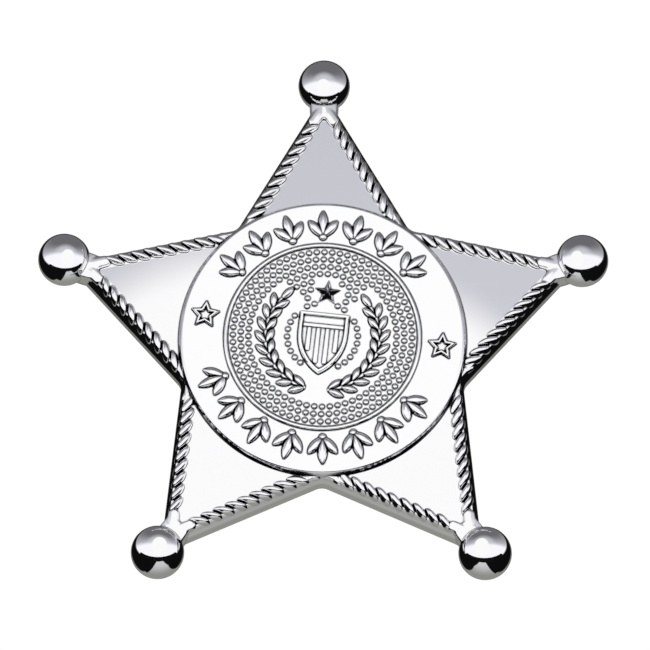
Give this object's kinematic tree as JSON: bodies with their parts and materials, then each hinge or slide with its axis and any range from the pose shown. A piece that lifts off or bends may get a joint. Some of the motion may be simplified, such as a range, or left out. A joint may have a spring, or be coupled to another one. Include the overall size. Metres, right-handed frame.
{
  "type": "sheriff star badge",
  "caption": "Star badge with ball tips, a twisted rope border, a beaded and wreathed medallion set on its face and a pin in its hollow back.",
  "frame": {"origin": "on the surface the badge lies on, under the middle of its outline box; the centre of the star is 3.18 mm behind it, towards -Y", "axes": "+Z out of the face of the badge, +Y towards its top point, +X towards its right side as seen from the face"},
  "size_m": [0.0698, 0.0666, 0.0056],
  "materials": {
    "plated_star": "bright plated, mirror polished",
    "plated_medallion": "bright plated, mirror polished",
    "pin_steel": "drawn steel wire"
  },
  "bodies": {
    "root": {"star_body": "plated_star", "centre_disc": "plated_medallion", "bar_pin": "pin_steel"}
  },
  "joints": []
}
